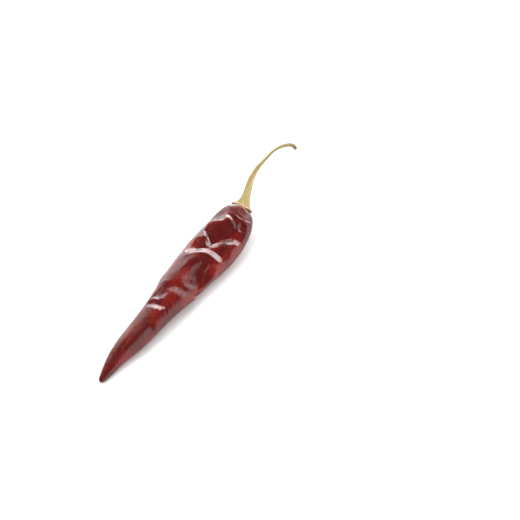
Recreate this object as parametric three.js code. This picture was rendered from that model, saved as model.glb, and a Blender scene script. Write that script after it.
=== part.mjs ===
// A dried chilli pepper lying on a flat surface, in millimetres, +Z up.
// The pod is long, flattened and tapered, and its skin has collapsed into dents, creases and ridges.
// Its tip points along -X. The stem, a lobed calyx that runs out into a curved stalk, points along +X.
import * as THREE from "three";

// Driving dimensions
const SPINE_STEP = 14; // the spine has a row at every such distance from the calyx to the tip
const STEM_GAP = 0.3; // clearance between the calyx and the pod's shoulder
const CALYX_THICKNESS = 0.6;

// Fineness of the meshes
const POD_RING_STEP = 1.05;
const POD_SIDES = 50;
const STEM_SIDES = 30;
const STALK_RINGS_A_POINT = 3;

// The pod's outline. Each row: distance from the calyx, half width, height above the spine, depth below it,
// how sharply the far (+Y) edge and the near (-Y) edge are folded, and the roll in degrees.
const PROFILE = [
  [0.0, 0.0, 0.0, 0.0, 1.0, 1.0, -6],
  [-0.3, 2.4, 2.1, 2.1, 1.0, 1.0, -6],
  [0.3, 5.0, 4.0, 4.4, 1.1, 1.0, -7],
  [2.0, 7.2, 4.9, 5.4, 1.3, 1.1, -9],
  [6.2, 8.8, 5.6, 5.8, 1.6, 1.1, -12],
  [12.5, 9.9, 6.1, 6.0, 1.8, 1.2, -13],
  [20.0, 10.6, 6.3, 6.3, 1.9, 1.2, -13],
  [28.0, 10.8, 6.3, 6.6, 1.9, 1.25, -12],
  [37.0, 10.2, 6.0, 6.5, 1.8, 1.3, -11],
  [46.0, 9.4, 5.6, 6.1, 1.7, 1.35, -10],
  [53.0, 9.3, 5.1, 5.4, 1.5, 1.4, -8],
  [61.0, 8.0, 4.8, 4.6, 1.25, 1.2, -4],
  [70.0, 6.9, 4.6, 4.2, 1.15, 1.05, 0],
  [80.0, 6.2, 4.4, 4.0, 1.1, 1.05, 0],
  [90.0, 5.4, 4.0, 3.6, 1.05, 1.0, 0],
  [100.0, 3.7, 3.0, 2.7, 1.0, 1.0, 0],
  [106.5, 2.4, 2.1, 1.8, 1.0, 1.0, 0],
  [111.0, 1.15, 1.1, 1.1, 1.0, 1.0, 0],
  [112.0, 0.0, 0.0, 0.0, 1.0, 1.0, 0],
];

// The pod's spine: sideways (+Y) and height, a row every SPINE_STEP from the calyx
const SPINE = [
  [3.2, 10.2],
  [1.8, 7.6],
  [1.7, 6.3],
  [1.9, 5.9],
  [1.2, 5.6],
  [0.75, 5.1],
  [0.6, 4.3],
  [1.25, 2.9],
  [0.4, 1.1],
];

// Places on the skin are a distance from the calyx and an angle round the section, in degrees:
// 0 is the far edge, 90 the top, 180 the near edge and 270 the underside.

// Hollows where the skin has sunk in
const DENTS = [
  { at: [3.2, 112], long: 4.0, wide: 5.5, turn: 0, deep: 0.4 },
  { at: [16.0, 98], long: 11.0, wide: 8.5, turn: -4, deep: 0.7 },
  { at: [10.2, 126], long: 2.4, wide: 2.1, turn: 0, deep: 0.9 },
  { at: [8.5, 50], long: 6.0, wide: 4.5, turn: 0, deep: 0.8 },
  { at: [44.5, 118], long: 9.5, wide: 6.2, turn: -6, deep: 2.2 },
  { at: [62.0, 60], long: 7.0, wide: 4.0, turn: 0, deep: 0.7 },
  { at: [82.0, 62], long: 15.0, wide: 3.2, turn: 0, deep: 0.25 },
  { at: [90.0, 146], long: 12.0, wide: 2.6, turn: 0, deep: 0.3 },
  { at: [14.0, 262], long: 9.0, wide: 6.0, turn: 10, deep: 0.9 },
  { at: [24.0, 310], long: 8.0, wide: 5.0, turn: -15, deep: 0.9 },
  { at: [52.0, 250], long: 9.0, wide: 6.0, turn: 25, deep: 1.0 },
  { at: [60.0, 295], long: 8.0, wide: 4.0, turn: 0, deep: 0.8 },
  { at: [76.0, 240], long: 9.0, wide: 3.5, turn: 0, deep: 0.6 },
  { at: [90.0, 300], long: 9.0, wide: 3.0, turn: 0, deep: 0.5 },
];

// Folds with a sharp floor, each with its own reach towards the calyx and towards the tip
const CREASES = [
  {
    line: [[27.2, 69], [26.0, 79], [24.0, 88], [21.4, 97], [18.4, 108], [16.3, 122], [15.6, 150]],
    deep: 2.4,
    calyxSide: 9.0,
    tipSide: 3.8,
  },
  {
    line: [[35.6, 32], [32.6, 52], [30.7, 72], [29.4, 92], [28.8, 114], [28.6, 130], [27.2, 148]],
    deep: 1.8,
    calyxSide: 7.0,
    tipSide: 4.0,
  },
  {
    line: [[54.5, 76], [55.5, 96], [54.5, 130], [53.2, 154], [52.4, 174]],
    deep: 1.1,
    calyxSide: 7.0,
    tipSide: 5.0,
  },
  { line: [[53.2, 158], [52.4, 178], [52.2, 200], [52.4, 225]], deep: 0.8, calyxSide: 3.0, tipSide: 2.2 },
  { line: [[63.8, 36], [64.2, 56], [64.8, 82]], deep: 0.6, calyxSide: 5.0, tipSide: 2.2 },
  { line: [[68.6, 34], [68.6, 66], [68.2, 94], [68.4, 124]], deep: 1.3, calyxSide: 2.6, tipSide: 3.4 },
  { line: [[79.0, 108], [80.5, 135], [81.5, 165], [82.0, 210]], deep: 0.5, calyxSide: 2.5, tipSide: 4.0 },
  { line: [[21.0, 235], [24.0, 260], [22.0, 290], [25.0, 320]], deep: 0.9, calyxSide: 5.0, tipSide: 3.0 },
  { line: [[52.0, 215], [50.0, 245], [53.0, 275], [51.0, 310]], deep: 0.9, calyxSide: 5.0, tipSide: 3.0 },
  { line: [[70.0, 220], [68.0, 250], [71.0, 280], [69.0, 330]], deep: 0.5, calyxSide: 4.0, tipSide: 2.5 },
];

// Ridges that the folded skin stands up in, and grooves where the height is negative
const CRESTS = [
  { line: [[6.2, 72], [7.2, 92], [7.8, 112], [7.2, 132], [4.5, 170]], high: 0.3, half: 1.1 },
  { line: [[9.2, 91], [10.9, 82], [13.2, 71], [15.4, 51], [17.5, 26]], high: 1.8, half: 5.2 },
  { line: [[8.0, 158], [20.0, 176], [33.4, 180], [42.8, 186], [50.0, 190]], high: 0.2, half: 2.2 },
  { line: [[10.0, 140], [22.0, 142], [30.0, 144], [38.0, 152], [48.0, 172]], high: 0.8, half: 4.0 },
  { line: [[14.0, 66], [24.0, 66], [34.0, 64], [45.0, 60], [55.0, 56]], high: -0.3, half: 4.0 },
  { line: [[9.0, 34], [20.0, 33], [32.0, 34], [45.0, 36], [57.0, 36]], high: 0.22, half: 1.7 },
  { line: [[56.0, 100], [71.7, 112], [85.8, 118], [100.5, 124]], high: 0.25, half: 2.2 },
  { line: [[36.0, 116], [41.0, 126], [46.5, 144]], high: 0.6, half: 2.2 },
  { line: [[38.0, 100], [41.0, 93], [45.0, 85]], high: 0.45, half: 1.9 },
];

const FULL_RELIEF_RING = 3; // where the pod's mean radius is under this, the relief fades with it
const LEAST_RELIEF_RING = 0.01; // under this the pod is a point, which has no relief
const FLOOR_ROUNDING = 0.02; // rounds the sharp line of a crease or crest
const DENT_WALL_POWER = 1.3; // how a hollow's wall curves: 1 is a bowl, and above 1 its brim is softer
const CREASE_WALL_POWER = 1.1; // how a crease's walls curve: 1 is straight
const CREST_WALL_POWER = 1.5;
const END_FADE = 5; // a crease or crest fades out over a fifth of its length at either end
const LINE_STEPS = 4; // straight pieces between two points of a crease's or crest's line

// The calyx. Its rim lies on the pod's shoulder at a row of PROFILE, and each lobe reaches some rows beyond.
// A lobe's tip has curled up off the shoulder by its lift.
const CALYX_RIM_ROW = 1.35;
const CALYX_LOBES = [
  { around: 36, reach: 0.8, lift: 0.5 },
  { around: 148, reach: 0.9, lift: 0.9 },
  { around: 208, reach: 0.6, lift: 0.5 },
  { around: 268, reach: 0.7, lift: 0.2 },
  { around: 324, reach: 0.5, lift: 0.4 },
];
const CALYX_LOBE_HALF_WIDTH = 38;
const CALYX_LOBE_CURL = 3; // power by which a lobe lifts from the calyx's middle out to its tip
const CALYX_MIDDLE_ROW = 0.05; // the row taken for the calyx's middle, because row 0 has no direction
const CALYX_UNDERSIDE_SHARES = [0.3, 0.6, 0.85, 1];
const FLARE_STEPS = 6;
const FLARE_PULL = 4.5; // how far below the neck the flare's curve is pulled in
const FLARE_PULL_SPREAD = 1.25; // how wide it is there, as a share of the neck

// The stalk's middle line from the calyx's middle, and its radius there. The first point is inside the calyx.
const STALK = [
  [0.0, 3.1, 10.0, 2.8],
  [4.6, 4.0, 12.5, 2.1],
  [8.5, 5.0, 15.0, 1.75],
  [12.4, 5.8, 17.9, 1.4],
  [15.7, 5.9, 20.0, 1.15],
  [19.5, 5.3, 22.3, 0.9],
  [23.7, 4.0, 24.7, 0.68],
  [27.0, 2.6, 26.7, 0.62],
  [30.0, 0.2, 28.3, 0.66],
  [32.2, -2.8, 29.2, 0.76],
  [32.7, -4.6, 29.0, 0.86],
  [32.5, -6.2, 28.1, 0.82],
];
const STALK_START = 1.7; // where the calyx's flare becomes the stalk, counted in points of STALK
const STALK_RIBS = 5;
const STALK_RIB_HEIGHT = 0.1; // share of the radius
const STALK_TWIST = 0.35; // radians a point of STALK
const STALK_END_BEVEL = 0.7; // the knob's last ring, as a share of its radius
const STALK_END_LENGTH = 0.35;

// A smooth curve through rows of numbers. The parameter counts rows.
function along(rows, parameter) {
  const last = rows.length - 1;
  const row = Math.min(Math.floor(Math.max(parameter, 0)), last - 1);
  const f = Math.min(Math.max(parameter, 0), last) - row;
  const at = (k) => rows[Math.min(Math.max(row + k, 0), last)];
  const [a, b, c, d] = [at(-1), at(0), at(1), at(2)];
  return b.map(
    (value, i) =>
      0.5 *
      (2 * value +
        (c[i] - a[i]) * f +
        (2 * a[i] - 5 * value + 4 * c[i] - d[i]) * f * f +
        (3 * value - a[i] - 3 * c[i] + d[i]) * f * f * f)
  );
}

function spinePoint(distance) {
  const [sideways, height] = along(SPINE, distance / SPINE_STEP);
  return new THREE.Vector3(-distance, sideways, height);
}

// A point of the pod before its skin sank in
function hullPoint(row, angle) {
  const [distance, width, top, low, farFold, nearFold, rollDegrees] = along(PROFILE, row);
  const step = 0.05;
  const tangent = spinePoint(distance + step).sub(spinePoint(distance - step)).normalize();
  const side = new THREE.Vector3().crossVectors(tangent, new THREE.Vector3(0, 0, 1)).normalize();
  const up = new THREE.Vector3().crossVectors(side, tangent);
  const sine = Math.sin(angle);
  const fold = farFold + ((nearFold - farFold) * (1 - Math.cos(angle))) / 2;
  const reach = Math.max(sine > 0 ? top : low, 0);
  const across = Math.max(width, 0) * Math.cos(angle);
  const over = reach * Math.sign(sine) * Math.abs(sine) ** fold;
  const roll = THREE.MathUtils.degToRad(rollDegrees);
  return spinePoint(distance)
    .addScaledVector(side, across * Math.cos(roll) + over * Math.sin(roll))
    .addScaledVector(up, over * Math.cos(roll) - across * Math.sin(roll));
}

function hullNormal(row, angle) {
  const step = 0.01;
  const alongRows = hullPoint(row + step, angle).sub(hullPoint(row - step, angle));
  const round = hullPoint(row, angle + step).sub(hullPoint(row, angle - step));
  return alongRows.cross(round).normalize();
}

// The shorter way round from one angle to another
function turnTo(angle, degrees) {
  const difference = angle - THREE.MathUtils.degToRad(degrees);
  return THREE.MathUtils.euclideanModulo(difference + Math.PI, 2 * Math.PI) - Math.PI;
}

function dentHeight(distance, angle, ring, { at, long, wide, turn, deep }) {
  const x = distance - at[0];
  const y = ring * turnTo(angle, at[1]);
  const c = Math.cos(THREE.MathUtils.degToRad(turn));
  const s = Math.sin(THREE.MathUtils.degToRad(turn));
  const p = (x * c + y * s) / long;
  const q = (y * c - x * s) / wide;
  return -deep * Math.max(0, 1 - p * p - q * q) ** DENT_WALL_POWER;
}

// The same creases or crests with their lines as smooth curves
function smoothed(folds) {
  return folds.map((fold) => {
    const count = (fold.line.length - 1) * LINE_STEPS + 1;
    const line = Array.from({ length: count }, (_, k) => along(fold.line, k / LINE_STEPS));
    return { ...fold, line };
  });
}

// The nearest place on a line drawn on the skin: how far off it is, which is negative towards the calyx,
// and its share of the line
function nearestOnLine(distance, angle, ring, line) {
  const found = { off: Infinity, share: 0 };
  const spans = line.length - 1;
  for (let k = 0; k < spans; k++) {
    const x = distance - line[k][0];
    const y = ring * turnTo(angle, line[k][1]);
    const dx = line[k + 1][0] - line[k][0];
    const dy = ring * THREE.MathUtils.degToRad(line[k + 1][1] - line[k][1]);
    const f = THREE.MathUtils.clamp((x * dx + y * dy) / (dx * dx + dy * dy), 0, 1);
    const away = Math.hypot(x - f * dx, y - f * dy);
    if (away < Math.abs(found.off)) {
      found.off = x - f * dx > 0 ? away : -away;
      found.share = (k + f) / spans;
    }
  }
  return found;
}

function creaseHeight(distance, angle, ring, { line, deep, calyxSide, tipSide }) {
  const { off, share } = nearestOnLine(distance, angle, ring, line);
  const reach = off < 0 ? -off / calyxSide : off / tipSide;
  const fade = Math.min(1, END_FADE * Math.min(share, 1 - share));
  return -deep * fade * Math.max(0, 1 - Math.sqrt(reach * reach + FLOOR_ROUNDING)) ** CREASE_WALL_POWER;
}

function crestHeight(distance, angle, ring, { line, high, half }) {
  const { off, share } = nearestOnLine(distance, angle, ring, line);
  const reach = off / half;
  const fade = Math.min(1, END_FADE * Math.min(share, 1 - share));
  return high * fade * Math.max(0, 1 - Math.sqrt(reach * reach + FLOOR_ROUNDING)) ** CREST_WALL_POWER;
}

const SMOOTH_CREASES = smoothed(CREASES);
const SMOOTH_CRESTS = smoothed(CRESTS);

// A point of the finished skin. It is pressed flat where it would go below the surface it lies on.
function skinPoint(row, angle) {
  const [distance, width, top, low] = along(PROFILE, row);
  const ring = (2 * Math.max(width, 0) + Math.max(top, 0) + Math.max(low, 0)) / 4;
  const point = hullPoint(row, angle);
  let height = 0;
  for (const dent of DENTS) height += dentHeight(distance, angle, ring, dent);
  for (const crease of SMOOTH_CREASES) height += creaseHeight(distance, angle, ring, crease);
  for (const crest of SMOOTH_CRESTS) height += crestHeight(distance, angle, ring, crest);
  const fade = Math.min(1, ring / FULL_RELIEF_RING);
  if (ring > LEAST_RELIEF_RING) point.addScaledVector(hullNormal(row, angle), height * fade);
  point.z = Math.max(point.z, 0);
  return point;
}

// Closes a stack of rings with a point at each end. Where the rings run towards +X the faces are turned.
function closedSkin(first, rings, last, towardsX) {
  const sides = rings[0].length;
  const points = [first, ...rings.flat(), last];
  const ringStart = (k) => 1 + k * sides;
  const index = [];
  const face = (a, b, c) => index.push(...(towardsX ? [a, c, b] : [a, b, c]));
  for (let j = 0; j < sides; j++) {
    const next = (j + 1) % sides;
    face(0, ringStart(0) + j, ringStart(0) + next);
    for (let k = 0; k < rings.length - 1; k++) {
      const [here, beyond] = [ringStart(k), ringStart(k + 1)];
      face(here + j, beyond + j, here + next);
      face(here + next, beyond + j, beyond + next);
    }
    const end = ringStart(rings.length - 1);
    face(points.length - 1, end + next, end + j);
  }
  const geometry = new THREE.BufferGeometry().setFromPoints(points);
  geometry.setIndex(index);
  geometry.computeVertexNormals();
  return geometry;
}

function anglesRound(sides) {
  return Array.from({ length: sides }, (_, j) => (2 * Math.PI * j) / sides);
}

// Places in rows of PROFILE, about POD_RING_STEP apart along the pod
function ringRows() {
  const rows = [];
  for (let k = 0; k < PROFILE.length - 1; k++) {
    const steps = Math.max(2, Math.round((PROFILE[k + 1][0] - PROFILE[k][0]) / POD_RING_STEP));
    for (let i = 0; i < steps; i++) rows.push(k + i / steps);
  }
  return rows;
}

function podGeometry() {
  const [firstRow, ...rows] = ringRows();
  const rings = rows.map((row) => anglesRound(POD_SIDES).map((angle) => skinPoint(row, angle)));
  return closedSkin(skinPoint(firstRow, 0), rings, skinPoint(PROFILE.length - 1, 0), false);
}

// The middle, side and up directions of the stalk at each ring, carried along it without twisting
function stalkFrames() {
  const lastPoint = STALK.length - 1;
  const count = Math.round((lastPoint - STALK_START) * STALK_RINGS_A_POINT);
  const middleAt = (parameter) => new THREE.Vector3(...along(STALK, parameter).slice(0, 3));
  const frames = [];
  let side = new THREE.Vector3(0, 1, 0);
  for (let k = 0; k <= count; k++) {
    const parameter = STALK_START + ((lastPoint - STALK_START) * k) / count;
    const tangent = middleAt(parameter + 0.05).sub(middleAt(parameter - 0.05)).normalize();
    side = side.clone().addScaledVector(tangent, -side.dot(tangent)).normalize();
    const up = new THREE.Vector3().crossVectors(tangent, side);
    frames.push({ parameter, middle: middleAt(parameter), side, up, tangent });
  }
  return frames;
}

function stalkRing({ parameter, middle, side, up }, swell = 1) {
  const radius = along(STALK, parameter)[3] * swell;
  return anglesRound(STEM_SIDES).map((angle) => {
    const rib = 1 + STALK_RIB_HEIGHT * Math.cos(STALK_RIBS * angle + STALK_TWIST * parameter);
    return middle
      .clone()
      .addScaledVector(side, radius * rib * Math.cos(angle))
      .addScaledVector(up, radius * rib * Math.sin(angle));
  });
}

// How far the calyx's rim reaches at an angle, in rows of PROFILE, and how far it has curled up
function calyxRim(angle) {
  const rim = { row: CALYX_RIM_ROW, lift: 0 };
  for (const { around, reach, lift } of CALYX_LOBES) {
    const off = turnTo(angle, around) / THREE.MathUtils.degToRad(CALYX_LOBE_HALF_WIDTH);
    const swell = Math.abs(off) < 1 ? Math.cos((off * Math.PI) / 2) : 0;
    rim.row += reach * swell;
    rim.lift += lift * swell * swell;
  }
  return rim;
}

// A point over the pod's shoulder, at a share of the way from its middle to the calyx's rim
function overShoulder(share, angle, height) {
  const rim = calyxRim(angle);
  const row = Math.max(share * rim.row, CALYX_MIDDLE_ROW);
  const above = height + rim.lift * share ** CALYX_LOBE_CURL;
  return skinPoint(row, angle).addScaledVector(hullNormal(row, angle), above);
}

// The flare curves from the calyx's rim in to the neck, where the stalk starts
function flareRings(rim, neck, { middle, tangent }) {
  const waist = middle.clone().addScaledVector(tangent, -FLARE_PULL);
  const rings = [];
  for (let k = 1; k < FLARE_STEPS; k++) {
    const f = k / FLARE_STEPS;
    const ring = rim.map((point, j) => {
      const spread = neck[j].clone().sub(middle).multiplyScalar(FLARE_PULL_SPREAD);
      const pull = waist.clone().add(spread);
      return point
        .clone()
        .multiplyScalar((1 - f) ** 2)
        .addScaledVector(pull, 2 * f * (1 - f))
        .addScaledVector(neck[j], f * f);
    });
    rings.push(ring);
  }
  return rings;
}

function stemGeometry() {
  const frames = stalkFrames();
  const angles = anglesRound(STEM_SIDES);
  const ringOver = (share, height) => angles.map((angle) => overShoulder(share, angle, height));
  const underside = CALYX_UNDERSIDE_SHARES.map((share) => ringOver(share, STEM_GAP));
  const rim = ringOver(1, STEM_GAP + CALYX_THICKNESS);
  const stalk = frames.map((frame) => stalkRing(frame));
  const end = frames[frames.length - 1];
  const beyondEnd = (length) => end.middle.clone().addScaledVector(end.tangent, length);
  const bevel = stalkRing({ ...end, middle: beyondEnd(STALK_END_LENGTH * STALK_END_BEVEL) }, STALK_END_BEVEL);
  const rings = [...underside, rim, ...flareRings(rim, stalk[0], frames[0]), ...stalk, bevel];
  return closedSkin(overShoulder(0, 0, STEM_GAP), rings, beyondEnd(STALK_END_LENGTH), true);
}

const podMaterial = new THREE.MeshStandardMaterial({ color: 0x6e1214, roughness: 0.32, metalness: 0 });
const stemMaterial = new THREE.MeshStandardMaterial({ color: 0xb3a35f, roughness: 0.75, metalness: 0 });

const pod = new THREE.Mesh(podGeometry(), podMaterial);
pod.name = "pod";
const stem = new THREE.Mesh(stemGeometry(), stemMaterial);
stem.name = "stem";

const chilli = new THREE.Group();
chilli.add(pod, stem);
const box = new THREE.Box3().setFromObject(chilli);
const middle = box.getCenter(new THREE.Vector3());
chilli.position.set(-middle.x, -middle.y, -box.min.z);

export default chilli;
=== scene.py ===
# The looks of a dried chilli pepper: its fine skin, its stalk, their materials, and a plain studio.
import math

import bpy
import numpy as np
from mathutils import Matrix, Vector, noise


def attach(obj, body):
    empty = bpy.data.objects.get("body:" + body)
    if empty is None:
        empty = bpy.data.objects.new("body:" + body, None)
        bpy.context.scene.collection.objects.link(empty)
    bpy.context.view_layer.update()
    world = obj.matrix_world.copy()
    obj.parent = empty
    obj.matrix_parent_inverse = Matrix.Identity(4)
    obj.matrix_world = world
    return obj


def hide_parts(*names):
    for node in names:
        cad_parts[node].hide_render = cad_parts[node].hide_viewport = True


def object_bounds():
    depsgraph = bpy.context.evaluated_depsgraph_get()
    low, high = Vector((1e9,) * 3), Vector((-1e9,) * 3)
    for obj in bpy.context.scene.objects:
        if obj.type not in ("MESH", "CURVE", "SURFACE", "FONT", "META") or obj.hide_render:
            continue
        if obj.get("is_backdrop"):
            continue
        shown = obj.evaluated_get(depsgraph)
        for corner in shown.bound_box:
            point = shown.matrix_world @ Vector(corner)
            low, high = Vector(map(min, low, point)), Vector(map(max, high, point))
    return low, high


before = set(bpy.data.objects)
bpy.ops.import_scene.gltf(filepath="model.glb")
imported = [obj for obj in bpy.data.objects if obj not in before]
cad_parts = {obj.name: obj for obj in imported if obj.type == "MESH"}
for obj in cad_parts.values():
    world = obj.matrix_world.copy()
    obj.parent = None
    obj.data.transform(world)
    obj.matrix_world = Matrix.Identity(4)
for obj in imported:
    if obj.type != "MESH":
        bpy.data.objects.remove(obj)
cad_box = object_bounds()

# Shapes are worked out in millimetres from the calyx's middle, and moved by this to the part's own frame.
CALYX_TO_ORIGIN = (39.200, -1.619, 0.0)
METRES = 0.001

# The pod, as in the part's solids

SPINE_STEP = 14.0

# Distance from the calyx, half width, height above the spine, depth below it, how sharply the far (+Y) edge
# and the near (-Y) edge are folded, and the roll in degrees
PROFILE = [
    (0.0, 0.0, 0.0, 0.0, 1.0, 1.0, -6),
    (-0.3, 2.4, 2.1, 2.1, 1.0, 1.0, -6),
    (0.3, 5.0, 4.0, 4.4, 1.1, 1.0, -7),
    (2.0, 7.2, 4.9, 5.4, 1.3, 1.1, -9),
    (6.2, 8.8, 5.6, 5.8, 1.6, 1.1, -12),
    (12.5, 9.9, 6.1, 6.0, 1.8, 1.2, -13),
    (20.0, 10.6, 6.3, 6.3, 1.9, 1.2, -13),
    (28.0, 10.8, 6.3, 6.6, 1.9, 1.25, -12),
    (37.0, 10.2, 6.0, 6.5, 1.8, 1.3, -11),
    (46.0, 9.4, 5.6, 6.1, 1.7, 1.35, -10),
    (53.0, 9.3, 5.1, 5.4, 1.5, 1.4, -8),
    (61.0, 8.0, 4.8, 4.6, 1.25, 1.2, -4),
    (70.0, 6.9, 4.6, 4.2, 1.15, 1.05, 0),
    (80.0, 6.2, 4.4, 4.0, 1.1, 1.05, 0),
    (90.0, 5.4, 4.0, 3.6, 1.05, 1.0, 0),
    (100.0, 3.7, 3.0, 2.7, 1.0, 1.0, 0),
    (106.5, 2.4, 2.1, 1.8, 1.0, 1.0, 0),
    (111.0, 1.15, 1.1, 1.1, 1.0, 1.0, 0),
    (112.0, 0.0, 0.0, 0.0, 1.0, 1.0, 0),
]

# Sideways (+Y) and height of the spine, every SPINE_STEP from the calyx
SPINE = [
    (3.2, 10.2),
    (1.8, 7.6),
    (1.7, 6.3),
    (1.9, 5.9),
    (1.2, 5.6),
    (0.75, 5.1),
    (0.6, 4.3),
    (1.25, 2.9),
    (0.4, 1.1),
]

# Places on the skin are a distance from the calyx and an angle round the section in degrees:
# 0 is the far edge, 90 the top, 180 the near edge and 270 the underside.

# Hollows: at, around, half length, half width, turn in degrees, depth
DENTS = [
    (3.2, 112, 4.0, 5.5, 0, 0.4),
    (16.0, 98, 11.0, 8.5, -4, 0.7),
    (10.2, 126, 2.4, 2.1, 0, 0.9),
    (8.5, 50, 6.0, 4.5, 0, 0.8),
    (44.5, 118, 9.5, 6.2, -6, 2.2),
    (62.0, 60, 7.0, 4.0, 0, 0.7),
    (82.0, 62, 15.0, 3.2, 0, 0.25),
    (90.0, 146, 12.0, 2.6, 0, 0.3),
    (14.0, 262, 9.0, 6.0, 10, 0.9),
    (24.0, 310, 8.0, 5.0, -15, 0.9),
    (52.0, 250, 9.0, 6.0, 25, 1.0),
    (60.0, 295, 8.0, 4.0, 0, 0.8),
    (76.0, 240, 9.0, 3.5, 0, 0.6),
    (90.0, 300, 9.0, 3.0, 0, 0.5),
]

# Folds with a sharp floor: line, depth, reach towards the calyx, reach towards the tip
CREASES = [
    ([(27.2, 69), (26.0, 79), (24.0, 88), (21.4, 97), (18.4, 108), (16.3, 122), (15.6, 150)], 2.4, 9.0, 3.8),
    ([(35.6, 32), (32.6, 52), (30.7, 72), (29.4, 92), (28.8, 114), (28.6, 130), (27.2, 148)], 1.8, 7.0, 4.0),
    ([(54.5, 76), (55.5, 96), (54.5, 130), (53.2, 154), (52.4, 174)], 1.1, 7.0, 5.0),
    ([(53.2, 158), (52.4, 178), (52.2, 200), (52.4, 225)], 0.8, 3.0, 2.2),
    ([(63.8, 36), (64.2, 56), (64.8, 82)], 0.6, 5.0, 2.2),
    ([(68.6, 34), (68.6, 66), (68.2, 94), (68.4, 124)], 1.3, 2.6, 3.4),
    ([(79.0, 108), (80.5, 135), (81.5, 165), (82.0, 210)], 0.5, 2.5, 4.0),
    ([(21.0, 235), (24.0, 260), (22.0, 290), (25.0, 320)], 0.9, 5.0, 3.0),
    ([(52.0, 215), (50.0, 245), (53.0, 275), (51.0, 310)], 0.9, 5.0, 3.0),
    ([(70.0, 220), (68.0, 250), (71.0, 280), (69.0, 330)], 0.5, 4.0, 2.5),
]

# Ridges, and grooves where the height is negative: line, height, half width
CRESTS = [
    ([(6.2, 72), (7.2, 92), (7.8, 112), (7.2, 132), (4.5, 170)], 0.3, 1.1),
    ([(9.2, 91), (10.9, 82), (13.2, 71), (15.4, 51), (17.5, 26)], 1.8, 5.2),
    ([(8.0, 158), (20.0, 176), (33.4, 180), (42.8, 186), (50.0, 190)], 0.2, 2.2),
    ([(10.0, 140), (22.0, 142), (30.0, 144), (38.0, 152), (48.0, 172)], 0.8, 4.0),
    ([(14.0, 66), (24.0, 66), (34.0, 64), (45.0, 60), (55.0, 56)], -0.3, 4.0),
    ([(9.0, 34), (20.0, 33), (32.0, 34), (45.0, 36), (57.0, 36)], 0.22, 1.7),
    ([(56.0, 100), (71.7, 112), (85.8, 118), (100.5, 124)], 0.25, 2.2),
    ([(36.0, 116), (41.0, 126), (46.5, 144)], 0.6, 2.2),
    ([(38.0, 100), (41.0, 93), (45.0, 85)], 0.45, 1.9),
]

FULL_RELIEF_RING = 3.0  # the section's mean radius from which the relief has its full height
FLOOR_ROUNDING = 0.02
DENT_WALL_POWER = 1.3
CREASE_WALL_POWER = 1.1
CREST_WALL_POWER = 1.5
END_FADE = 5  # a line fades out over a fifth of its length at each end
LINE_STEPS = 4

# Fine relief of the pod, which the solids leave out. Sizes and heights are in millimetres.
FINE_RELIEF_START = 0.5
FINE_RELIEF_FADE = 4.0
BEND_SIZE = 9.0
BEND = 0.6
SOFT_SIZE = (9.0, 4.5, 4.5)
SOFT_HEIGHT = 0.08
CRUMPLE_SIZE = (7.0, 3.2, 3.2)
CRUMPLE_BEND = 0.3
CRUMPLE_HEIGHT = 0.05
CREPE_SIZE = (3.0, 1.7, 1.7)
CREPE_BEND = 0.2
CREPE_HEIGHT = 0.02

# Wrinkles across the tail: from one crest to the next, slant, the angle that it starts from, and waver
FAR_WRINKLES = (1.9, 1.4, 60, 2.2)
FAR_WRINKLES_MIDDLE = 55
FAR_WRINKLES_HEIGHT = 0.09
NEAR_WRINKLES = (2.3, -0.8, 140, 4.5)
NEAR_WRINKLES_MIDDLE = 140
NEAR_WRINKLES_HEIGHT = 0.06
NEAR_WRINKLES_SHARE = 0.5
NEAR_WRINKLES_CONTRAST = 2
TAIL_START = 63.0
TAIL_FADE_IN = 8.0
TAIL_END = 108.0
TAIL_FADE_OUT = 10.0

# The calyx: the row of PROFILE that its rim lies at, and its lobes: around, reach in rows, lift
CALYX_RIM_ROW = 1.35
CALYX_LOBES = [
    (36, 0.8, 0.5),
    (148, 0.9, 0.9),
    (208, 0.6, 0.5),
    (268, 0.7, 0.2),
    (324, 0.5, 0.4),
]
CALYX_LOBE_HALF_WIDTH = 38
CALYX_LOBE_CURL = 3
CALYX_MIDDLE_ROW = 0.05
CALYX_THICKNESS = 0.6
CALYX_GAP = 0.08
FLARE_PULL = 4.5
FLARE_PULL_SPREAD = 1.25

# Rings of the calyx: shares of the way out for those under it, shares of its thickness for those round
# its edge, and the share of the way out at which its top starts
CALYX_UNDER_SHARES = (0.05, 0.3, 0.55, 0.75, 0.9, 0.98)
CALYX_EDGE_SHARES = (0.1, 0.5, 0.9)
CALYX_TOP_SHARE = 0.985

# The stalk's middle line from the calyx's middle, and its radius there
STALK = [
    (0.0, 3.1, 10.0, 2.8),
    (4.6, 4.0, 12.5, 2.1),
    (8.5, 5.0, 15.0, 1.75),
    (12.4, 5.8, 17.9, 1.4),
    (15.7, 5.9, 20.0, 1.15),
    (19.5, 5.3, 22.3, 0.9),
    (23.7, 4.0, 24.7, 0.68),
    (27.0, 2.6, 26.7, 0.62),
    (30.0, 0.2, 28.3, 0.66),
    (32.2, -2.8, 29.2, 0.76),
    (32.7, -4.6, 29.0, 0.86),
    (32.5, -6.2, 28.1, 0.82),
]
STALK_START = 1.7
STALK_RIBS = 5
STALK_RIB_HEIGHT = 0.1
STALK_TWIST = 0.35

# The rounded end past the last ring of the stalk: how far past it, and the share of its radius
STALK_END = [
    (0.14, 0.9),
    (0.22, 0.72),
    (0.12, 0.4),
    (0.10, 0.001),
]

# Fine relief of the stem, with the stem laid out straight and this thick
STRAIGHT_RADIUS = 2.0
FURROW_SIZE = (14.0, 0.55, 0.55)
FURROW_HEIGHT = 0.09
KNOT_SIZE = (1.6, 1.1, 1.1)
KNOT_LEAST = 0.25
KNOT_HEIGHT = 0.28
WAVE_SIZE = (5.0, 3.0, 3.0)
WAVE_HEIGHT = 0.10

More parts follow.
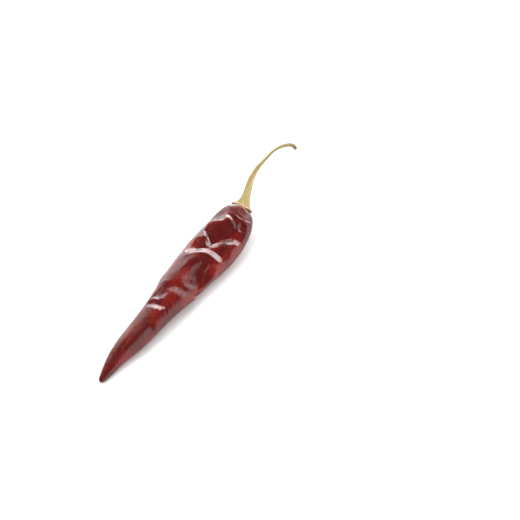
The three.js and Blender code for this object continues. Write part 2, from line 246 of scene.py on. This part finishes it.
# Places along the stem are in millimetres from the top of the flare, and negative on the calyx.
UNDER_CALYX_PLACE = -6.0
PAST_STALK_END = 0.2
STEM_RELIEF_START = -5.2
STEM_RELIEF_FADE = 0.5
STEM_RELIEF_PAST_END = 0.1
STEM_RELIEF_AT_END = 0.15

# Steps over which slopes are taken: millimetres of the spine, rows and radians of the pod, rows of STALK
SPINE_SLOPE_STEP = 0.05
SKIN_SLOPE_STEP = 0.01
STALK_SLOPE_STEP = 0.05

# Fineness of the pieces

POD_RINGS = 420
POD_SIDES = 220
STEM_SIDES = 120
STALK_RINGS = 190
FLARE_RINGS = 36


def along(rows, at):
    """A smooth curve through the rows at the parameter at, one row a step."""
    table = np.array(rows, float)
    last = len(table) - 1
    at = np.clip(at, 0, last)
    row = np.minimum(at.astype(int), last - 1)
    f = (at - row)[..., None]
    a, b, c, d = [table[np.clip(row + k, 0, last)] for k in (-1, 0, 1, 2)]
    return 0.5 * (2 * b + (c - a) * f + (2 * a - 5 * b + 4 * c - d) * f**2 + (3 * b - a - 3 * c + d) * f**3)


def spine(distance):
    sideways_height = along(SPINE, distance / SPINE_STEP)
    return np.stack([-distance, sideways_height[..., 0], sideways_height[..., 1]], -1)


def unit(vectors):
    return vectors / np.maximum(np.linalg.norm(vectors, axis=-1, keepdims=True), 1e-12)


def hull(row, angle):
    """Points of the pod before its skin sank in."""
    distance, width, top, low, far, near, roll = np.moveaxis(along(PROFILE, row), -1, 0)
    tangent = unit(spine(distance + SPINE_SLOPE_STEP) - spine(distance - SPINE_SLOPE_STEP))
    side = unit(np.cross(tangent, [0, 0, 1.0]))
    up = np.cross(side, tangent)
    sine = np.sin(angle)
    fold = far + (near - far) * (1 - np.cos(angle)) / 2
    reach = np.maximum(np.where(sine > 0, top, low), 0)
    over = reach * np.sign(sine) * np.abs(sine) ** fold
    across = np.maximum(width, 0) * np.cos(angle)
    roll = np.radians(roll)
    y = across * np.cos(roll) + over * np.sin(roll)
    z = over * np.cos(roll) - across * np.sin(roll)
    return spine(distance) + side * y[..., None] + up * z[..., None]


def turn_to(angle, degrees):
    """The shorter way round from a place to the angles."""
    return (angle - np.radians(degrees) + np.pi) % (2 * np.pi) - np.pi


def dent(distance, angle, ring, at, around, long, wide, turn, deep):
    x = distance - at
    y = ring * turn_to(angle, around)
    c, s = math.cos(math.radians(turn)), math.sin(math.radians(turn))
    p = (x * c + y * s) / long
    q = (y * c - x * s) / wide
    return -deep * np.maximum(0, 1 - p * p - q * q) ** DENT_WALL_POWER


def off_line(distance, angle, ring, line):
    """How far off a line on the skin a place is, negative towards the calyx, and its share of the line."""
    line = along(line, np.arange((len(line) - 1) * LINE_STEPS + 1) / LINE_STEPS)
    nearest = np.full(distance.shape, np.inf)
    off = np.zeros(distance.shape)
    share = np.zeros(distance.shape)
    spans = len(line) - 1
    for k in range(spans):
        (at, around), (next_at, next_around) = line[k], line[k + 1]
        x = distance - at
        y = ring * turn_to(angle, around)
        dx = next_at - at
        dy = ring * math.radians(next_around - around)
        f = np.clip((x * dx + y * dy) / (dx * dx + dy * dy), 0, 1)
        away = np.hypot(x - f * dx, y - f * dy)
        closer = away < nearest
        nearest = np.where(closer, away, nearest)
        off = np.where(closer, np.where(x - f * dx > 0, away, -away), off)
        share = np.where(closer, (k + f) / spans, share)
    return off, share


def wall(reach, power):
    """The share of its height that a fold has, at a share of the way out from its line."""
    return np.maximum(0, 1 - np.sqrt(reach**2 + FLOOR_ROUNDING)) ** power


def end_fade(share):
    return np.minimum(1, END_FADE * np.minimum(share, 1 - share))


def crease(distance, angle, ring, line, deep, calyx_side, tip_side):
    off, share = off_line(distance, angle, ring, line)
    reach = np.where(off < 0, -off / calyx_side, off / tip_side)
    return -deep * end_fade(share) * wall(reach, CREASE_WALL_POWER)


def crest(distance, angle, ring, line, high, half):
    off, share = off_line(distance, angle, ring, line)
    return high * end_fade(share) * wall(off / half, CREST_WALL_POWER)


def noise_field(points, size, seed):
    """Smooth noise from -1 to 1 at points in millimetres. Its lumps are about size millimetres across."""
    away = Vector((seed * 17.3, seed * 5.1, seed * 9.7))
    flat = (points / np.asarray(size)).reshape(-1, 3)
    return np.array([noise.noise(Vector(p) + away) for p in flat]).reshape(points.shape[:-1])


def ridged_noise(points, size, seed, bend):
    """Thin raised lines that meet and part, from -1 to 1."""
    return 1 - 2 * np.abs(noise_field(points, size, seed) + bend)


def wrinkles(distance, angle, ring, bent, pitch, slant, slant_from, waver):
    """Wrinkles across the pod, from -1 to 1, that slant round it and waver."""
    crossing = distance + slant * ring * turn_to(angle, slant_from) + waver * bent
    return np.sin(crossing * 2 * np.pi / pitch)


def facing(angle, middle):
    """From 1 at an angle round the section down to 0 a quarter turn away."""
    return np.clip(np.cos(turn_to(angle, middle)), 0, 1)


def fine_relief(points, distance, angle, ring):
    """Crumples and wrinkles too fine for the solids."""
    bent = noise_field(points, BEND_SIZE, 1) * BEND
    soft = noise_field(points, SOFT_SIZE, 2)
    crumples = ridged_noise(points, CRUMPLE_SIZE, 3, CRUMPLE_BEND * bent)
    crepe = ridged_noise(points, CREPE_SIZE, 4, CREPE_BEND * bent)
    all_over = SOFT_HEIGHT * soft + CRUMPLE_HEIGHT * crumples + CREPE_HEIGHT * crepe
    far = wrinkles(distance, angle, ring, bent, *FAR_WRINKLES) * facing(angle, FAR_WRINKLES_MIDDLE) ** 2
    near = wrinkles(distance, angle, ring, bent, *NEAR_WRINKLES) * facing(angle, NEAR_WRINKLES_MIDDLE)
    in_patches = np.clip(NEAR_WRINKLES_SHARE + NEAR_WRINKLES_CONTRAST * bent, 0, 1)
    across_tail = FAR_WRINKLES_HEIGHT * far + NEAR_WRINKLES_HEIGHT * near * in_patches
    starts = np.clip((distance - TAIL_START) / TAIL_FADE_IN, 0, 1)
    ends = np.clip((TAIL_END - distance) / TAIL_FADE_OUT, 0, 1)
    return all_over + across_tail * starts * ends


def hull_normal(row, angle):
    along_rows = hull(row + SKIN_SLOPE_STEP, angle) - hull(row - SKIN_SLOPE_STEP, angle)
    around = hull(row, angle + SKIN_SLOPE_STEP) - hull(row, angle - SKIN_SLOPE_STEP)
    return unit(np.cross(along_rows, around))


def skin(row, angle, fine):
    """Points of the finished skin and the height of its relief. fine adds what the solids leave out."""
    distance, width, top, low = np.moveaxis(along(PROFILE, row), -1, 0)[:4]
    ring = (2 * np.maximum(width, 0) + np.maximum(top, 0) + np.maximum(low, 0)) / 4
    points = hull(row, angle)
    height = sum(dent(distance, angle, ring, *spec) for spec in DENTS)
    height = height + sum(crease(distance, angle, ring, *spec) for spec in CREASES)
    height = height + sum(crest(distance, angle, ring, *spec) for spec in CRESTS)
    if fine:
        clear_of_calyx = np.clip((distance - FINE_RELIEF_START) / FINE_RELIEF_FADE, 0, 1)
        height = height + clear_of_calyx * fine_relief(points, distance, angle, ring)
    height = height * np.clip(ring / FULL_RELIEF_RING, 0, 1)
    points = points + hull_normal(row, angle) * height[..., None]
    points[..., 2] = np.maximum(points[..., 2], 0)
    return points, height


def grid(first, second):
    return np.meshgrid(first, second, indexing="ij")


def angles_round(sides):
    return np.linspace(0, 2 * np.pi, sides, endpoint=False)


def faces_between(count, sides):
    """Faces over a stack of rings. They look outward where the rings run towards the pod's tip."""
    faces = []
    for j in range(sides):
        after = (j + 1) % sides
        for k in range(count - 1):
            a, b = k * sides + j, k * sides + after
            faces.append((a, a + sides, b + sides, b))
    return faces


def mesh_object(name, rings):
    """A piece over a stack of rings, the first and the last of which are each drawn in to a point."""
    mesh = bpy.data.meshes.new(name)
    places = (rings.reshape(-1, 3) + np.array(CALYX_TO_ORIGIN)) * METRES
    mesh.from_pydata(places.tolist(), [], faces_between(*rings.shape[:2]))
    mesh.update()
    for polygon in mesh.polygons:
        polygon.use_smooth = True
    piece = bpy.data.objects.new(name, mesh)
    bpy.context.scene.collection.objects.link(piece)
    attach(piece, "root")
    return piece


def add_numbers(piece, name, values):
    attribute = piece.data.attributes.new(name, "FLOAT", "POINT")
    attribute.data.foreach_set("value", values.reshape(-1).astype(np.float32))


def add_vectors(piece, name, values):
    attribute = piece.data.attributes.new(name, "FLOAT_VECTOR", "POINT")
    attribute.data.foreach_set("vector", values.reshape(-1).astype(np.float32))


def add_pod():
    row, angle = grid(np.linspace(0, len(PROFILE) - 1, POD_RINGS), angles_round(POD_SIDES))
    rings, height = skin(row, angle, fine=True)
    piece = mesh_object("pod_skin", rings)
    add_numbers(piece, "height", height)
    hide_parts("pod")
    return piece


def calyx_rim(angle):
    """How far the calyx's rim reaches at the angles, in rows of PROFILE, and how far it has curled up."""
    row = np.full(angle.shape, CALYX_RIM_ROW)
    lift = np.zeros(angle.shape)
    for around, reach, curl in CALYX_LOBES:
        off = np.clip(turn_to(angle, around) / math.radians(CALYX_LOBE_HALF_WIDTH), -1, 1)
        swell = np.cos(off * np.pi / 2)
        row += reach * swell
        lift += curl * swell**2
    return row, lift


def over_shoulder(share, angle, height):
    """Points over the pod's shoulder, at a share of the way from its middle to the calyx's rim."""
    rim_row, lift = calyx_rim(angle)
    row = np.maximum(share * rim_row, CALYX_MIDDLE_ROW)
    points, _ = skin(row, angle, fine=False)
    return points + hull_normal(row, angle) * (height + lift * share**CALYX_LOBE_CURL)[..., None]


def stalk_frames():
    """The stalk's middle, side, up and forward directions, radius and parameter at each ring."""
    parameters = np.linspace(STALK_START, len(STALK) - 1, STALK_RINGS)
    middles = along(STALK, parameters)
    ahead, behind = along(STALK, parameters + STALK_SLOPE_STEP), along(STALK, parameters - STALK_SLOPE_STEP)
    forward = unit((ahead - behind)[:, :3])
    sides = np.zeros((STALK_RINGS, 3))
    side = np.array([0.0, 1.0, 0.0])
    for k in range(STALK_RINGS):
        side = unit(side - forward[k] * side.dot(forward[k]))
        sides[k] = side
    return parameters, middles[:, :3], middles[:, 3], sides, np.cross(forward, sides), forward


def stem_rings():
    """The stem's rings from under the calyx to the stalk's end, their places along it, and its length."""
    angle = angles_round(STEM_SIDES)
    parameters, middles, radii, sides, ups, forward = stalk_frames()
    lengths = np.concatenate([[0], np.cumsum(np.linalg.norm(np.diff(middles, axis=0), axis=1))])
    ribs = 1 + STALK_RIB_HEIGHT * np.cos(STALK_RIBS * angle + STALK_TWIST * parameters[:, None])
    swell = ribs * radii[:, None]
    stalk = middles[:, None] + sides[:, None] * (swell * np.cos(angle))[..., None]
    stalk = stalk + ups[:, None] * (swell * np.sin(angle))[..., None]
    full = np.ones(angle.shape)
    under = [over_shoulder(full * share, angle, CALYX_GAP) for share in CALYX_UNDER_SHARES]
    edge = [over_shoulder(full, angle, CALYX_GAP + CALYX_THICKNESS * share) for share in CALYX_EDGE_SHARES]
    rim = over_shoulder(full * CALYX_TOP_SHARE, angle, CALYX_GAP + CALYX_THICKNESS)
    waist = middles[0] - forward[0] * FLARE_PULL
    pull = waist + (stalk[0] - middles[0]) * FLARE_PULL_SPREAD
    flare = []
    for f in np.linspace(0, 1, FLARE_RINGS, endpoint=False):
        flare.append(rim * (1 - f) ** 2 + pull * 2 * f * (1 - f) + stalk[0] * f * f)
    end = [middles[-1] + forward[-1] * past + (stalk[-1] - middles[-1]) * share for past, share in STALK_END]
    rings = np.array(under + edge + flare + list(stalk) + end)
    for closed_end in (0, -1):
        rings[closed_end] = rings[closed_end].mean(axis=0)
    on_calyx = np.linspace(UNDER_CALYX_PLACE, 0, len(under) + len(edge) + len(flare), endpoint=False)
    place = np.concatenate([on_calyx, lengths, np.full(len(end), lengths[-1] + PAST_STALK_END)])
    return rings, place, lengths[-1]


def add_stem():
    rings, place, length = stem_rings()
    angle = angles_round(STEM_SIDES)
    outward = unit(np.cross(np.gradient(rings, axis=0), np.roll(rings, -1, 1) - np.roll(rings, 1, 1)))
    outward = outward * np.sign((outward * (rings - rings.mean(1, keepdims=True))).sum(-1).mean())
    place, angle = grid(place, angle)
    straight = np.stack([place, STRAIGHT_RADIUS * np.cos(angle), STRAIGHT_RADIUS * np.sin(angle)], -1)
    furrows = noise_field(straight, FURROW_SIZE, 5) * FURROW_HEIGHT
    knots = np.maximum(noise_field(straight, KNOT_SIZE, 6) - KNOT_LEAST, 0) * KNOT_HEIGHT
    waves = noise_field(straight, WAVE_SIZE, 7) * WAVE_HEIGHT
    starts = np.clip(place - STEM_RELIEF_START, 0, 1)
    ends = np.clip((length + STEM_RELIEF_PAST_END - place) / STEM_RELIEF_FADE, STEM_RELIEF_AT_END, 1)
    rings = rings + outward * ((furrows + knots + waves) * (starts * ends))[..., None]
    piece = mesh_object("stalk_and_calyx", rings)
    piece.data.flip_normals()
    add_vectors(piece, "straight", straight)
    add_numbers(piece, "place", place)
    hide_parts("stem")
    return piece


# Materials

# Where along the stem the browner knob and the tan edge of the calyx begin, and where they are full
STALK_KNOB_PLACES = (28.0, 36.0)
CALYX_EDGE_PLACES = (-3.6, -5.0)


def new_material(name):
    """A new material and its shader."""
    material = bpy.data.materials.new(name)
    material.use_nodes = True
    return material, material.node_tree.nodes["Principled BSDF"]


class Nodes:
    """Short ways to add nodes to one tree."""

    def __init__(self, tree):
        self.tree = tree
        self.place = tree.nodes.new("ShaderNodeTexCoord").outputs["Object"]

    def link(self, value, socket):
        if hasattr(value, "is_output"):
            self.tree.links.new(value, socket)
        else:
            socket.default_value = value

    def noise(self, millimetres, detail=3.0, rough=0.55, stretch=(1, 1, 1), bend=0.0, place=None):
        """Noise with lumps of that size. place is a vector in millimetres, else it goes by the object."""
        mapping = self.tree.nodes.new("ShaderNodeMapping")
        unit_size = METRES if place is None else 1
        mapping.inputs["Scale"].default_value = [1 / (unit_size * millimetres * s) for s in stretch]
        self.tree.links.new(place or self.place, mapping.inputs["Vector"])
        node = self.tree.nodes.new("ShaderNodeTexNoise")
        node.inputs["Scale"].default_value = 1.0
        node.inputs["Detail"].default_value = detail
        node.inputs["Roughness"].default_value = rough
        node.inputs["Distortion"].default_value = bend
        self.tree.links.new(mapping.outputs[0], node.inputs["Vector"])
        return node.outputs["Fac"]

    def ramp(self, value, start, end):
        node = self.tree.nodes.new("ShaderNodeMapRange")
        node.interpolation_type = "SMOOTHSTEP"
        self.tree.links.new(value, node.inputs["Value"])
        node.inputs["From Min"].default_value = start
        node.inputs["From Max"].default_value = end
        return node.outputs["Result"]

    def math(self, kind, a, b):
        node = self.tree.nodes.new("ShaderNodeMath")
        node.operation = kind
        self.link(a, node.inputs[0])
        self.link(b, node.inputs[1])
        return node.outputs[0]

    def mix(self, share, a, b):
        node = self.tree.nodes.new("ShaderNodeMix")
        node.data_type = "RGBA"
        self.link(share, node.inputs["Factor"])
        self.link(a, node.inputs["A"])
        self.link(b, node.inputs["B"])
        return node.outputs["Result"]

    def tint(self, colour, tone, where, amount):
        """The colour, turned towards a tone by the amount where the mask is 1."""
        return self.mix(self.math("MULTIPLY", where, amount), colour, tone)

    def attribute(self, name, output="Fac"):
        node = self.tree.nodes.new("ShaderNodeAttribute")
        node.attribute_name = name
        return node.outputs[output]

    def bump(self, height, distance, strength=1.0, under=None):
        node = self.tree.nodes.new("ShaderNodeBump")
        node.inputs["Distance"].default_value = distance * METRES
        node.inputs["Strength"].default_value = strength
        self.tree.links.new(height, node.inputs["Height"])
        if under is not None:
            self.tree.links.new(under, node.inputs["Normal"])
        return node.outputs["Normal"]


def pod_material():
    material, shader = new_material("pod_skin")
    n = Nodes(material.node_tree)
    deep_red = (0.150, 0.0058, 0.0034, 1)
    maroon = (0.070, 0.0045, 0.0036, 1)
    orange_red = (0.260, 0.020, 0.0050, 1)
    blotches = n.ramp(n.noise(8.0, detail=4, rough=0.6, stretch=(1.6, 1, 1), bend=0.6), 0.40, 0.64)
    colour = n.mix(blotches, maroon, deep_red)
    # Painted glow: random orange-red patches that stand in for light shining through the thin skin
    painted_glow_patches = n.ramp(n.noise(5.0, detail=3, rough=0.6, stretch=(1.8, 1, 1), bend=0.8), 0.56, 0.80)
    colour = n.tint(colour, orange_red, painted_glow_patches, 0.6)
    # Painted glow on the raised relief, where the thin skin would let light through
    painted_glow_on_ridges = n.ramp(n.attribute("height"), 0.25, 1.0)
    colour = n.tint(colour, orange_red, painted_glow_on_ridges, 0.35)
    # Painted shade: the deeper hollows are darkened towards maroon
    painted_shade_in_hollows = n.ramp(n.attribute("height"), -0.9, -2.2)
    colour = n.tint(colour, maroon, painted_shade_in_hollows, 0.35)
    specks = n.ramp(n.noise(0.7, detail=2, rough=0.5), 0.68, 0.76)
    colour = n.tint(colour, orange_red, specks, 0.15)
    n.link(colour, shader.inputs["Base Color"])
    dull = n.ramp(n.noise(6.0, detail=4, rough=0.65, stretch=(1.4, 1, 1), bend=1.0), 0.40, 0.70)
    roughness = n.math("MULTIPLY_ADD", dull, 0.12)
    roughness.node.inputs[2].default_value = 0.20
    n.link(roughness, shader.inputs["Roughness"])
    shader.inputs["IOR"].default_value = 1.46
    crepe = n.noise(1.3, detail=4, rough=0.6, stretch=(1.5, 1, 1), bend=0.5)
    creped = n.bump(crepe, 0.06, strength=0.7)
    grained = n.bump(n.noise(0.28, detail=2, rough=0.5), 0.016, strength=0.6, under=creped)
    n.link(grained, shader.inputs["Normal"])
    return material


def stem_material():
    material, shader = new_material("dry_stem")
    n = Nodes(material.node_tree)
    straight = n.attribute("straight", "Vector")
    place = n.attribute("place")
    straw = (0.470, 0.350, 0.150, 1)
    olive = (0.270, 0.225, 0.080, 1)
    brown = (0.150, 0.085, 0.035, 1)
    pale = (0.660, 0.560, 0.330, 1)
    rosy = (0.620, 0.400, 0.250, 1)
    streaks = n.noise(1.0, detail=4, rough=0.6, stretch=(16, 0.5, 0.5), bend=0.2, place=straight)
    colour = n.mix(n.ramp(streaks, 0.40, 0.62), olive, straw)
    patches = n.noise(1.0, detail=3, rough=0.6, stretch=(5, 1.6, 1.6), bend=0.4, place=straight)
    colour = n.tint(colour, pale, n.ramp(patches, 0.52, 0.70), 0.6)
    specks = n.noise(0.6, detail=2, rough=0.5, stretch=(1.6, 1, 1), place=straight)
    colour = n.tint(colour, brown, n.ramp(specks, 0.64, 0.70), 0.7)
    colour = n.tint(colour, brown, n.ramp(place, *STALK_KNOB_PLACES), 0.8)
    colour = n.tint(colour, rosy, n.ramp(place, *CALYX_EDGE_PLACES), 0.7)
    n.link(colour, shader.inputs["Base Color"])
    shader.inputs["Roughness"].default_value = 0.62
    fibres = n.noise(1.0, detail=4, rough=0.65, stretch=(10, 0.22, 0.22), bend=0.1, place=straight)
    n.link(n.bump(fibres, 0.10, strength=0.8), shader.inputs["Normal"])
    return material


# The studio

CAMERA_AZIMUTH = math.radians(-58)
CAMERA_ELEVATION = math.radians(43)
CAMERA_LENS = 100.0
CAMERA_PLACE = (-415.890, -266.991, 441.923)  # millimetres from the calyx's middle

FLOOR_SIZE = 20.0  # metres
FLOOR_COLOUR = (0.9, 0.9, 0.9, 1)
FLOOR_ROUGHNESS = 0.6

# Brightness of the sky, by the sine of the angle above the horizon
SKY = [
    (0.0, 0.80),
    (0.08, 0.30),
    (0.20, 0.10),
    (0.5, 0.05),
    (0.75, 0.05),
]
SKY_STRENGTH = 0.9

# Area lights, seen from the pod's middle: azimuth in degrees from +X, elevation, distance and size in
# metres, watts, and the kind of ray that doesn't see the light
LIGHTS = [
    ("behind", 14, 16, 0.8, (0.90, 0.49), 12, "diffuse"),
    ("left", 110, 50, 1.5, (1.6, 1.6), 24, "glossy"),
    ("backdrop", 60, 13, 0.9, (0.6, 0.4), 2.4, "diffuse"),
    ("right", -52, 19, 1.0, (1.7, 0.75), 7.6, "diffuse"),
    ("fill", -95, 32, 1.3, (1.3, 1.3), 14, "glossy"),
    ("over", 20, 78, 2.2, (3.2, 3.2), 60, "glossy"),
]
POD_MIDDLE = (-56, 0, 0)  # millimetres from the calyx's middle


def in_frame(place):
    return (Vector(place) + Vector(CALYX_TO_ORIGIN)) * METRES


def camera_axes():
    """The camera's right, up and back directions."""
    level = math.cos(CAMERA_ELEVATION)
    back = Vector(
        (
            math.sin(CAMERA_AZIMUTH) * level,
            -math.cos(CAMERA_AZIMUTH) * level,
            math.sin(CAMERA_ELEVATION),
        )
    )
    right = Vector((math.cos(CAMERA_AZIMUTH), math.sin(CAMERA_AZIMUTH), 0))
    return right, back.cross(right), back


def add_camera():
    data = bpy.data.cameras.new("camera")
    data.lens = CAMERA_LENS
    camera = bpy.data.objects.new("camera", data)
    bpy.context.scene.collection.objects.link(camera)
    turned = Matrix(camera_axes()).transposed().to_4x4()
    camera.matrix_world = Matrix.Translation(in_frame(CAMERA_PLACE)) @ turned
    bpy.context.scene.camera = camera


def add_floor():
    bpy.ops.mesh.primitive_plane_add(size=FLOOR_SIZE)
    floor = bpy.context.object
    floor.name = "floor"
    material, shader = new_material("floor")
    shader.inputs["Base Color"].default_value = FLOOR_COLOUR
    shader.inputs["Roughness"].default_value = FLOOR_ROUGHNESS
    floor.data.materials.append(material)
    floor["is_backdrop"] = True


def add_sky():
    world = bpy.data.worlds.new("studio")
    bpy.context.scene.world = world
    world.use_nodes = True
    tree = world.node_tree
    place = tree.nodes.new("ShaderNodeTexCoord").outputs["Generated"]
    parts = tree.nodes.new("ShaderNodeSeparateXYZ")
    tree.links.new(place, parts.inputs[0])
    ramp = tree.nodes.new("ShaderNodeValToRGB")
    tree.links.new(parts.outputs["Z"], ramp.inputs[0])
    stops = ramp.color_ramp.elements
    while len(stops) < len(SKY):
        stops.new(1)
    for stop, (position, grey) in zip(stops, SKY):
        stop.position = position
        stop.color = (grey, grey, grey, 1)
    background = tree.nodes["Background"]
    tree.links.new(ramp.outputs[0], background.inputs["Color"])
    background.inputs["Strength"].default_value = SKY_STRENGTH


def add_light(name, azimuth, elevation, distance, size, watts, unseen_by):
    azimuth, elevation = math.radians(azimuth), math.radians(elevation)
    level = math.cos(elevation)
    way = Vector((math.cos(azimuth) * level, math.sin(azimuth) * level, math.sin(elevation)))
    data = bpy.data.lights.new(name, "AREA")
    data.shape = "RECTANGLE"
    data.size, data.size_y = size
    data.energy = watts
    light = bpy.data.objects.new(name, data)
    bpy.context.scene.collection.objects.link(light)
    light.location = in_frame(POD_MIDDLE) + way * distance
    light.rotation_mode = "QUATERNION"
    light.rotation_quaternion = way.to_track_quat("Z", "Y")
    light.visible_diffuse = unseen_by != "diffuse"
    light.visible_glossy = unseen_by != "glossy"


pod = add_pod()
pod.data.materials.append(pod_material())
stem = add_stem()
stem.data.materials.append(stem_material())
add_floor()
add_sky()
for light in LIGHTS:
    add_light(*light)
add_camera()
bpy.context.scene.view_settings.view_transform = "Standard"

boxes = {"cad": cad_box, "visual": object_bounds()}
boxes = {name: [list(map(float, corner)) for corner in box] for name, box in boxes.items()}
